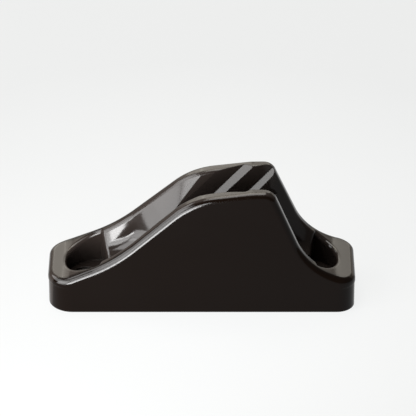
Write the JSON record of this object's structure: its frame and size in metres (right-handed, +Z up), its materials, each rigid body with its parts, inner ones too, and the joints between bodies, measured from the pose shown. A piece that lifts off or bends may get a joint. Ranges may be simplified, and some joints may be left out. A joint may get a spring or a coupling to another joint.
{
  "type": "jam cleat",
  "caption": "V-groove jam cleat for thin rope: one moulded nylon body with slanted teeth, flared rope mouths and a fixing screw in the well at each end.",
  "frame": {"origin": "on the deck face, midway between the two fixing screws", "axes": "X along the rope with the loaded rope leaving towards -X; +Z up out of the deck"},
  "size_m": [0.066, 0.0188, 0.0416],
  "materials": {
    "black_nylon": "polished mould finish",
    "black_screw_steel": "black oxide"
  },
  "bodies": {
    "root": {"cleat_body": "black_nylon", "fixing_screw_load_end": "black_screw_steel", "fixing_screw_tail_end": "black_screw_steel"}
  },
  "joints": []
}
